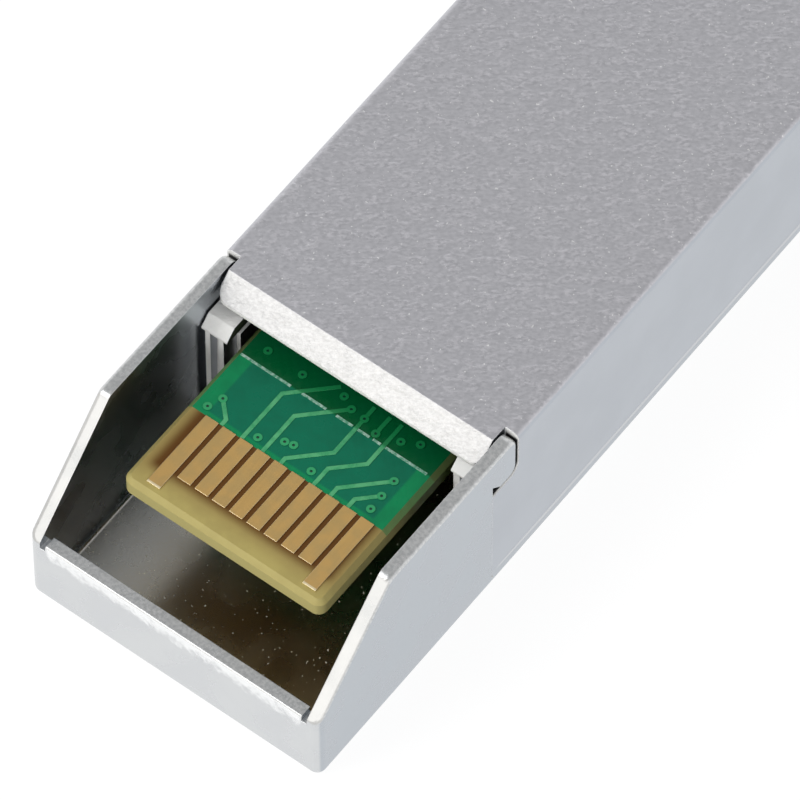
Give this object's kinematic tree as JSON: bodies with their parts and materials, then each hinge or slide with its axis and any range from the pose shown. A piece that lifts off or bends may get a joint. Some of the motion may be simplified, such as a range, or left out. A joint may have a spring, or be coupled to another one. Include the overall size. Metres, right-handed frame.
{
  "type": "sfp plus transceiver",
  "caption": "Pluggable optical transceiver module with a metal housing, card-edge contacts at the rear, optical ports at the front and a bail that releases its latch.",
  "frame": {"origin": "under the middle of the whole module, on the face that it lies on", "axes": "+Y from the card edge to the optical ports, +Z out of the latch side, +X to the right from the rear"},
  "size_m": [0.0146, 0.0564, 0.0093],
  "materials": {
    "cast_nickel": "nickel plate over a fine grained casting",
    "sheet_nickel": "smooth nickel plate on sheet",
    "green_board": "green solder mask over glass epoxy, bare at the tongue",
    "gold": "hard gold plate",
    "chip_resin": "matt black resin",
    "heat_pad_rubber": "soft grey-blue",
    "capacitor_body": "fired tan body",
    "inductor_body": "dark ferrite",
    "optics_steel": "turned and welded",
    "sleeve_white": "polished white ceramic",
    "flex_film": "amber film",
    "clamp_plastic": "moulded black",
    "port_plastic": "moulded black, fine sheen",
    "latch_steel": "nickel plate",
    "pin_steel": "bright drawn",
    "spring_steel": "bright stamped strip"
  },
  "bodies": {
    "module": {"base_housing": "cast_nickel", "cover_shell": "sheet_nickel", "circuit_board": "green_board", "upper_contacts": "gold", "lower_contacts": "gold", "driver_chip": "chip_resin", "controller_chip": "chip_resin", "amplifier_chip": "chip_resin", "heat_pad": "heat_pad_rubber", "capacitors": "capacitor_body", "inductors": "inductor_body", "transmitter_can": "optics_steel", "transmitter_barrel": "optics_steel", "receiver_can": "optics_steel", "receiver_barrel": "optics_steel", "transmitter_sleeve": "sleeve_white", "receiver_sleeve": "sleeve_white", "transmitter_flex": "flex_film", "receiver_flex": "flex_film", "optics_clamp": "clamp_plastic", "port_block": "port_plastic", "latch_pin": "pin_steel", "cover_screw": "pin_steel", "latch_spring": "spring_steel", "left_contact_strip": "spring_steel", "right_contact_strip": "spring_steel"},
    "latch": {"latch_lever": "latch_steel"},
    "bail": {"bail_handle": "latch_steel", "bail_shaft": "pin_steel"}
  },
  "joints": [
    {"name": "bail_hinge", "type": "hinge", "parent": "module", "child": "bail", "pos_m": [0, 0.02665, 0.0082], "axis": [1, 0, 0], "range_deg": [0, 90]},
    {"name": "latch_pivot", "type": "hinge", "parent": "module", "child": "latch", "pos_m": [0, 0.02225, 0.0082], "axis": [1, 0, 0], "range_deg": [0, 6.5], "stiffness_Nm_per_rad": 0.0002, "springref_deg": -5.73, "deforming": ["latch_spring"]}
  ],
  "couplings": [
    {"joint": "latch_pivot", "follows": "bail_hinge", "ratio": 0.07}
  ]
}
